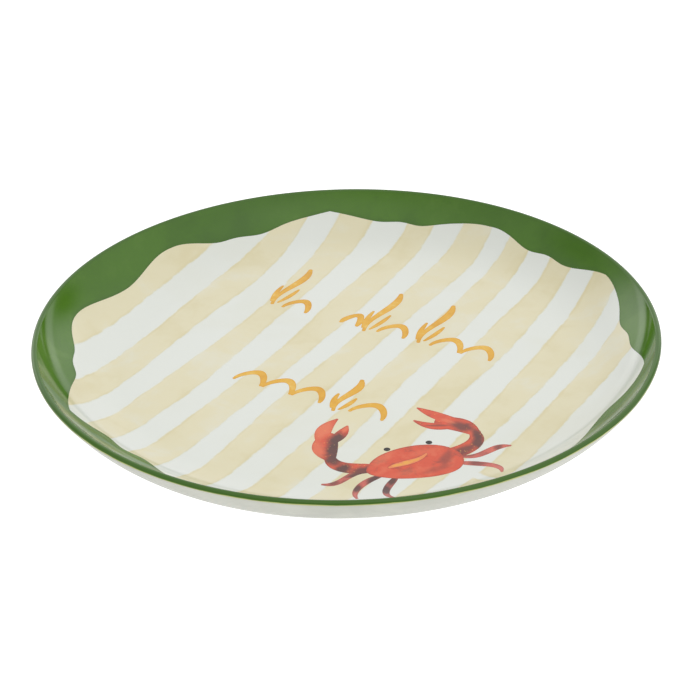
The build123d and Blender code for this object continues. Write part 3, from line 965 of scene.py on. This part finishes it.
class PLATE_OT_stage(bpy.types.Operator):
    """Add the floor, the light and the camera"""

    bl_idname = "plate.stage"
    bl_label = "Stage"

    def execute(self, context):
        stage = context.scene.plate_stage
        self.add_camera(context, stage)
        self.add_floor(context, stage)
        self.add_light(context, stage)
        context.scene.view_settings.view_transform = "Standard"
        context.scene.view_settings.look = "None"
        return {"FINISHED"}

    def add_camera(self, context, stage):
        form = context.scene.plate_form
        height = form.rim_height - form.coat - form.lip_round
        back = direction(stage.azimuth, stage.elevation)
        place = Vector((0, 0, height)) + stage.distance * back
        turn = Matrix.Rotation(stage.azimuth, 3, "Z")
        aim = turn @ Vector((stage.aim_right, stage.aim_back, 0)) + Vector((0, 0, height))
        forward = (aim - place).normalized()
        right = forward.cross(Vector((0, 0, 1))).normalized()
        up = right.cross(forward)
        cos, sin = math.cos(stage.roll), math.sin(stage.roll)
        axes = (cos * right + sin * up, cos * up - sin * right, -forward)
        lens = bpy.data.cameras.new("Camera")
        lens.lens = stage.lens
        lens.sensor_width = 36
        lens.clip_start = 0.01
        lens.clip_end = 50
        camera = bpy.data.objects.new("Camera", lens)
        context.scene.collection.objects.link(camera)
        camera.matrix_world = Matrix.Translation(place) @ Matrix(axes).transposed().to_4x4()
        context.scene.camera = camera

    def add_floor(self, context, stage):
        mesh = bpy.data.meshes.new("Floor")
        around = [
            direction(2 * math.pi * i / FLOOR_SIDES, 0) * FLOOR_RADIUS for i in range(FLOOR_SIDES)
        ]
        mesh.from_pydata([tuple(p) for p in around], [], [list(range(FLOOR_SIDES))])
        floor = bpy.data.objects.new("Floor", mesh)
        context.scene.collection.objects.link(floor)
        material = bpy.data.materials.new("light_table")
        material.use_nodes = True
        build = Nodes(material.node_tree)
        shader = material.node_tree.nodes["Principled BSDF"]
        cloud = build.mix(build.noise(build.here(), 3.0, 2.0), (0.44,) * 3, (0.46,) * 3)
        build.link(cloud, shader.inputs["Base Color"])
        shader.inputs["Roughness"].default_value = 0.9
        shader.inputs["Specular IOR Level"].default_value = 0.0
        shader.inputs["Emission Color"].default_value = (1, 1, 0.99, 1)
        path = build.add("ShaderNodeLightPath")
        build.link(
            build.ramp(path.outputs["Is Camera Ray"], 0, 1, stage.floor_bounce, stage.floor_glow),
            shader.inputs["Emission Strength"],
        )
        mesh.materials.append(material)

    def add_light(self, context, stage):
        world = bpy.data.worlds.new("Studio")
        world.use_nodes = True
        context.scene.world = world
        build = Nodes(world.node_tree)
        background = world.node_tree.nodes["Background"]
        where = build.add("ShaderNodeTexCoord").outputs["Generated"]
        group = panel_group()
        total = stage.room
        for (turn, height), half, soft, bright in PANELS.values():
            values = {
                "Direction": where,
                "Middle": direction(stage.azimuth + math.radians(turn), math.radians(height)),
                "Half Width": math.radians(half),
                "Softness": math.radians(soft),
                "Brightness": bright,
            }
            total = build.math("ADD", build.group(group, values)["Light"], total)
        total = self.add_strips(build, where, stage, build.math("MAXIMUM", total, LEAST_LIGHT))
        path = build.add("ShaderNodeLightPath")
        seen = build.make(
            "ShaderNodeMix", {0: path.outputs["Is Camera Ray"], 2: total, 3: BACKDROP}, data_type="FLOAT"
        )
        build.link(seen, background.inputs["Strength"])
        background.inputs["Color"].default_value = (1.0, 1.0, 0.985, 1)

    def add_strips(self, build, where, stage, light):
        """Darken and brighten the far side of the room along two level strips."""
        height = build.math("MULTIPLY", build.math("ARCSINE", build.split(where)[2]), 180 / math.pi)
        far = build.dot(where, -direction(stage.azimuth, 0))
        reach = build.math(
            "MULTIPLY", build.ramp(far, 0.45, 0.75), build.ramp(far, 0.9, 0.975, 1.0, 0.12)
        )

        def strip(low, high, soft):
            up = build.ramp(height, low - soft, low + soft)
            down = build.ramp(height, high - soft, high + soft, 1.0, 0.0)
            return build.math("MULTIPLY", reach, build.math("MULTIPLY", up, down))

        dark = build.math("MULTIPLY", strip(*EDGE_STRIP), stage.edge_dark)
        light = build.math("MULTIPLY", light, build.math("SUBTRACT", 1.0, dark))
        return build.math("ADD", light, build.math("MULTIPLY", strip(*TUBE_STRIP), stage.tube))


# ---- Pieces ---------------------------------------------------------------------------------------


def settle(piece, slot, *nodes):
    """Attach a finished piece to the root body and hide the CAD nodes that it stands for; slot is not used.
    """
    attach(piece, "root")
    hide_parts(*nodes)


class PLATE_OT_clay(bpy.types.Operator):
    """Add the fired clay body with its bare foot ring"""

    bl_idname = "plate.clay"
    bl_label = "Clay Body"

    def execute(self, context):
        form, _, _ = settings()
        section = Section(form)
        under = -form.glaze
        line = section.upper(under, 2.0) + section.outer(under, coarse=2.0)[1:]
        line += section.foot_side(1, under, form.foot_bare)
        line += section.bare_foot()
        line += section.foot_side(-1, under, form.foot_bare)[::-1]
        line += [(0.0, form.base_height - under)]
        piece = lathed("Clay_Body", line, clay_material())
        settle(piece, "fired_clay", "clay_body")
        return {"FINISHED"}


class PLATE_OT_white_glaze(bpy.types.Operator):
    """Add the white glaze on the upper side, on the outside and on the base"""

    bl_idname = "plate.white_glaze"
    bl_label = "White Glaze"

    def execute(self, context):
        form, _, finish = settings()
        section = Section(form)
        under = -form.glaze
        line = section.upper(form.sunk) + section.upper(under, 2.0)[::-1]
        piece = lathed("Top_Glaze", line, glazed("white_glaze", white_paint))
        settle(piece, "white_glaze", "top_glaze")

        # painted shade: this darker copy of the white glaze covers the outside and the base
        material = glazed("underside_white_glaze", under_paint, finish.under_gloss, 1.6)
        outside = section.outer(0.0, form.sunk) + section.foot_side(1, 0.0, form.foot_bare)
        inside_line = section.outer(under, coarse=2.0) + section.foot_side(1, under, form.foot_bare)
        line = outside + inside_line[::-1]
        piece = lathed("Underside_Glaze", line + line[:1], material)
        settle(piece, "underside_white_glaze", "underside_glaze")

        outside = [(0.0, form.base_height)] + section.foot_side(-1, 0.0, form.foot_bare)
        inside_line = [(0.0, form.base_height - under)] + section.foot_side(-1, under, form.foot_bare)
        piece = lathed("Base_Glaze", outside + inside_line[::-1], material)
        settle(piece, "underside_white_glaze", "base_glaze")
        return {"FINISHED"}


def green_paint(build):
    """Green glaze: blotted, deeper at the scalloped edge, darker along the lip's crest, with a fringe at its
    outer end.
    """
    _, colours, _ = settings()
    edge, rim = build.attribute("edge"), build.attribute("rim")
    body = washed(
        build, colours.green_thin, colours.green, colours.green_deep, 26.0, 0.5, 0.45, 1.3
    )
    soft = build.noise(build.here(), 9.0, 3.0, 0.5, 0.4)
    body = build.mix(build.ramp(soft, 0.4, 0.7, 0.0, 0.5), body, colours.green_deep)
    # darker green in a band along the lip's crest, about 0.5 to 4 mm from the band's outer end
    crest = build.math("MULTIPLY", build.ramp(rim, 4.2, 2.6), build.ramp(rim, 0.3, 0.8))
    body = build.mix(build.math("MULTIPLY", crest, 0.8), body, colours.green_deep)
    wander = build.ramp(build.noise(build.here(), 70.0, 3.0), 0.3, 0.7, -0.12, 0.12)
    ragged = build.math("ADD", rim, wander)
    return build.mix(build.ramp(ragged, 0.42, 0.2, 0.0, 0.85), body, colours.fringe)


class PLATE_OT_green_band(bpy.types.Operator):
    """Add the green rim band, from its scalloped edge over the lip"""

    bl_idname = "plate.green_band"
    bl_label = "Green Rim Band"
    WALL_ROWS = 14
    LIP_ROWS = 13

    def execute(self, context):
        form, _, _ = settings()
        section = Section(form)
        loop = min(outline_loops("green_rim_band"), key=lambda loop: np.hypot(*loop.T).mean())
        turn = np.arctan2(loop[:, 1], loop[:, 0]) % (2 * math.pi)
        order = np.argsort(turn)
        scallop = np.hypot(*loop.T)
        turns = np.arange(BAND_SEGMENTS) * 2 * math.pi / BAND_SEGMENTS
        inner = np.interp(turns, turn[order], scallop[order], period=2 * math.pi)
        upper = self.rows(section, inner, form.coat)
        lower = self.rows(section, inner, form.coat / 2)
        columns = np.stack([np.cos(turns), np.sin(turns)], axis=1)
        count = self.WALL_ROWS + self.LIP_ROWS + 1
        top, bottom, lean, rim = [], [], [], []
        for row in range(count):
            for points, (radius, height, _, _) in ((top, upper[row]), (bottom, lower[row])):
                points.append(np.column_stack([columns * radius[:, None], height]))
            tilt = upper[row][2]
            lean.append(np.column_stack([columns * np.cos(tilt)[:, None], np.sin(tilt)]))
            rim.append(upper[row][3])
        faces = []
        for row in range(count - 1):
            here = row * BAND_SEGMENTS + np.arange(BAND_SEGMENTS)
            there = row * BAND_SEGMENTS + (np.arange(BAND_SEGMENTS) + 1) % BAND_SEGMENTS
            faces.append(np.stack([here, here + BAND_SEGMENTS, there + BAND_SEGMENTS, there], axis=1))
        top = np.concatenate(top)
        starts, ends = sides([loop])
        edge = distance_to(top[:, :2], starts, ends)
        piece = closed_coat(
            "Green_Rim_Band",
            top,
            np.concatenate(bottom),
            np.concatenate(faces),
            np.concatenate(lean),
            {"edge": edge / MM, "rim": np.concatenate(rim) / MM},
            glazed("green_glaze", green_paint),
        )
        settle(piece, "green_glaze", "green_rim_band")
        return {"FINISHED"}

    def rows(self, section, inner, offset):
        """Radius, height, direction of the normal and way to the outer end, of each row of the band."""
        form = section.form
        wall = section.wall_radius - offset
        first = np.arcsin((inner - section.floor_radius) / wall)
        lip_round = form.lip_round + offset
        lip_length = lip_round * (math.pi / 2 + form.inner_slope)
        rows = []
        for share in np.linspace(0, 1, self.WALL_ROWS + 1):
            slope = first + (form.inner_slope - first) * share
            radius = section.wall_centre[0] + wall * np.sin(slope)
            height = section.wall_centre[1] - wall * np.cos(slope)
            rows.append((radius, height, slope + math.pi / 2, lip_length + wall * (form.inner_slope - slope)))
        for share in np.linspace(0, 1, self.LIP_ROWS + 1)[1:]:
            around = (math.pi / 2 + form.inner_slope) * (1 - share)
            row = (
                section.lip[0] + lip_round * math.cos(around),
                section.lip[1] + lip_round * math.sin(around),
                around,
                lip_round * around,
            )
            rows.append(tuple(np.full(len(inner), value) for value in row))
        return rows


def beige_paint(build):
    """Beige wash that fades into the white at the stripe's long sides."""
    _, colours, finish = settings()
    body = washed(build, colours.white, colours.beige, colours.beige_deep, 30.0, 0.34, 0.42, 1.8)
    wander = build.ramp(build.noise(build.here(), 120.0, 4.0, 0.6), 0.3, 0.7, -0.5, 0.35)
    inwards = build.math("ADD", build.attribute("edge"), wander)
    shown = build.ramp(inwards, -0.1, finish.soft_edge / MM)
    return build.mix(shown, white_paint(build), body)


class PLATE_OT_stripes(bpy.types.Operator):
    """Add the beige stripes"""

    bl_idname = "plate.stripes"
    bl_label = "Beige Stripes"

    def execute(self, context):
        cuts = []
        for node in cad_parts:
            if node.startswith(("crab", "ochre", "green")):
                cuts += outline_loops(node)
        material = glazed("beige_wash", beige_paint)
        for stripe in range(1, 10):
            node = f"beige_stripe_{stripe}"
            piece = painted_coat(f"Beige_Stripe_{stripe}", node, material, cut_by=cuts)
            settle(piece, "beige_wash", node)
        return {"FINISHED"}


def ochre_paint(build):
    """Ochre brush marks: lighter where the brush was dry, deeper at their rims."""
    _, colours, _ = settings()
    return washed(build, colours.ochre_light, colours.ochre, colours.ochre_deep, 110.0, 0.75, 0.5, 0.7)


class PLATE_OT_motifs(bpy.types.Operator):
    """Add the ochre marks: sea grass and waves"""

    bl_idname = "plate.motifs"
    bl_label = "Ochre Marks"

    def execute(self, context):
        material = glazed("ochre_paint", ochre_paint)
        for place in ("upper_left", "upper_right", "lower"):
            piece = painted_coat("Ochre_Marks_" + place, "ochre_motif_" + place, material, 0.9 * MM)
            settle(piece, "ochre_paint", "ochre_motif_" + place)
        return {"FINISHED"}


CRAB_CENTRE = (63.5 * MM, -57.5 * MM, 0)
CRAB_TURN = math.radians(38)
EYE_THICK = (0.03, 0.02, 0.02)


def on_crab(x, y):
    """Place on the plate of a point given in the crab's own frame, in millimetres."""
    cos, sin = math.cos(CRAB_TURN), math.sin(CRAB_TURN)
    across, back, _ = CRAB_CENTRE
    return (across + (cos * x - sin * y) * MM, back + (sin * x + cos * y) * MM, 0)


def crab_paint(thin, paint, thick, strokes, blots, dots=None):
    """Painter of a crab piece: a wash with strokes, each (x, y, turn, long, wide, colour, strength)."""

    def painter(build):
        _, colours, _ = settings()
        washes = [getattr(colours, shade) for shade in (thin, paint, thick)]
        body = washed(build, *washes, 150.0, blots, 0.25, 0.8)
        for x, y, turn, long, wide, tint, strength in strokes:
            turn_there = CRAB_TURN + math.radians(turn)
            values = {
                "Vector": build.placed(on_crab(x, y), turn_there, (long / wide, 1.0, 40.0)),
                "Ragged": 0.9 * wide * MM,
                "Reach": 0.3 * wide * MM,
                "Softness": 0.7 * wide * MM,
                "Strength": strength,
            }
            mask = build.group(brush_group(), values)["Mask"]
            body = build.mix(mask, body, getattr(colours, tint))
        if dots:
            near = build.ramp(build.cells(build.here(), 1 / (dots * MM)), 0.16, 0.24, 0.5, 0.0)
            some = build.math("GREATER_THAN", build.noise(build.here(), 300.0, 1.0), 0.52)
            body = build.mix(build.math("MULTIPLY", near, some), body, colours.crab_yellow)
        return body

    return painter


SHELL_STROKES = [
    (13, 0, 60, 8, 3.6, "crab_shade", 0.5),
    (8, -7, 15, 9, 2.6, "crab_shade", 0.28),
    (-12, 4, 40, 9, 3.4, "crab_light", 0.5),
    (-2, -7, 8, 12, 3, "crab_light", 0.3),
    (5, 6, 10, 10, 3, "crab_light", 0.35),
]
LEFT_CLAW_STROKES = [
    (-21, -3.2, 5, 9, 4.2, "crab_shade", 0.85),
    (-29, -0.5, 40, 6, 4.6, "crab_shade", 0.95),
    (-32, 7, 80, 6, 5.0, "crab_shade", 0.9),
    (-30.5, 14, 80, 8, 5.2, "crab_shade", 0.95),
    (-28, 21, 60, 8, 5.6, "crab_shade", 0.95),
    (-23.5, 28.5, 55, 4, 1.6, "crab_light", 0.7),
    (-37, 15, 85, 10, 4.0, "crab_light", 0.7),
    (-32.5, 29.5, 55, 10, 5.0, "crab_light", 0.9),
]
RIGHT_CLAW_STROKES = [
    (21, 4, 30, 8, 4.4, "crab_shade", 0.8),
    (28, 9, 75, 7, 4.2, "crab_shade", 0.9),
    (29, 15, 95, 5, 3.4, "crab_shade", 0.85),
    (24, 22, 135, 8, 4.4, "crab_shade", 0.8),
    (19, 27, 135, 5, 1.8, "crab_light", 0.5),
    (14, 24.5, 170, 7, 1.2, "crab_shade", 0.55),
]
LEG_STROKES = [
    (-24, -5.5, 5, 7, 2.4, "crab_shade", 0.9),
    (-34, -9.5, 15, 3, 2.4, "crab_shade", 0.65),
    (-18, -9.5, 40, 6, 2.7, "crab_shade", 0.95),
    (-25.5, -15, 55, 4, 2.7, "crab_shade", 0.9),
    (-11, -12, 55, 5, 3.0, "crab_shade", 0.95),
    (-14.5, -18, 75, 5, 3.3, "crab_shade", 0.95),
    (22, 0.5, 0, 4, 2.1, "crab_shade", 0.5),
    (35, 4, 20, 3, 2.1, "crab_shade", 0.6),
    (24, -6, -20, 5, 2.4, "crab_shade", 0.6),
    (18, -9, -40, 6, 2.7, "crab_shade", 0.85),
    (23, -16, -60, 4, 2.4, "crab_shade", 0.7),
]


class PLATE_OT_crab(bpy.types.Operator):
    """Add the painted crab"""

    bl_idname = "plate.crab"
    bl_label = "Crab"

    def execute(self, context):
        _, colours, _ = settings()
        red = ("crab_light", "crab", "crab_shade")
        pink = ("crab_light", "crab_pink", "crab_shade")
        shell = glazed("crab_red_shell", crab_paint(*red, SHELL_STROKES, 0.45))
        left = glazed("crab_red_left_claw", crab_paint(*red, LEFT_CLAW_STROKES, 0.4, dots=1.3))
        right = glazed("crab_red_right_claw", crab_paint(*red, RIGHT_CLAW_STROKES, 0.4, dots=1.6))
        legs = glazed("crab_leg_paint", crab_paint(*pink, LEG_STROKES, 0.45))
        eye = glazed(
            "eye_paint", lambda build: washed(build, colours.eye, colours.eye, EYE_THICK, 400.0)
        )
        highlight = glazed(
            "highlight_paint",
            lambda build: washed(
                build, colours.crab_yellow, colours.crab_yellow, colours.crab_light, 260.0, 0.8, 0.7, 0.9
            ),
        )
        for node, name, material, slot in (
            ("crab_shell", "Crab_Shell", shell, "crab_red_paint"),
            ("crab_highlight", "Crab_Highlight", highlight, "highlight_paint"),
            ("crab_eyes", "Crab_Eyes", eye, "eye_paint"),
            ("crab_left_claw", "Crab_Left_Claw", left, "crab_red_paint"),
            ("crab_right_claw", "Crab_Right_Claw", right, "crab_red_paint"),
            ("crab_left_legs", "Crab_Left_Legs", legs, "crab_leg_paint"),
            ("crab_right_legs", "Crab_Right_Legs", legs, "crab_leg_paint"),
        ):
            piece = painted_coat(name, node, material, 0.8 * MM)
            settle(piece, slot, node)
        return {"FINISHED"}


# ---- Panel and registration -----------------------------------------------------------------------

OPERATORS = (
    PLATE_OT_stage,
    PLATE_OT_clay,
    PLATE_OT_white_glaze,
    PLATE_OT_green_band,
    PLATE_OT_stripes,
    PLATE_OT_motifs,
    PLATE_OT_crab,
)
GROUPS = {
    "plate_form": PlateForm,
    "plate_colours": PlateColours,
    "plate_finish": PlateFinish,
    "plate_stage": PlateStage,
}


class PLATE_PT_panel(bpy.types.Panel):
    """Sizes, colours and steps of the plate"""

    bl_idname = "PLATE_PT_panel"
    bl_label = "Plate"
    bl_space_type = "VIEW_3D"
    bl_region_type = "UI"
    bl_category = "Plate"

    def draw(self, context):
        for label, group in GROUPS.items():
            box = self.layout.box()
            for key in group.__annotations__:
                box.prop(getattr(context.scene, label), key)
        for operator in OPERATORS:
            self.layout.operator(operator.bl_idname)


def register():
    for group in GROUPS.values():
        bpy.utils.register_class(group)
    for label, group in GROUPS.items():
        setattr(bpy.types.Scene, label, bpy.props.PointerProperty(type=group))
    for operator in OPERATORS:
        bpy.utils.register_class(operator)
    bpy.utils.register_class(PLATE_PT_panel)


def unregister():
    bpy.utils.unregister_class(PLATE_PT_panel)
    for operator in OPERATORS[::-1]:
        bpy.utils.unregister_class(operator)
    for label, group in GROUPS.items():
        delattr(bpy.types.Scene, label)
        bpy.utils.unregister_class(group)


def main():
    register()
    bpy.ops.plate.stage()
    bpy.ops.plate.clay()
    bpy.ops.plate.white_glaze()
    bpy.ops.plate.green_band()
    bpy.ops.plate.stripes()
    bpy.ops.plate.motifs()
    bpy.ops.plate.crab()


if __name__ == "__main__":
    main()
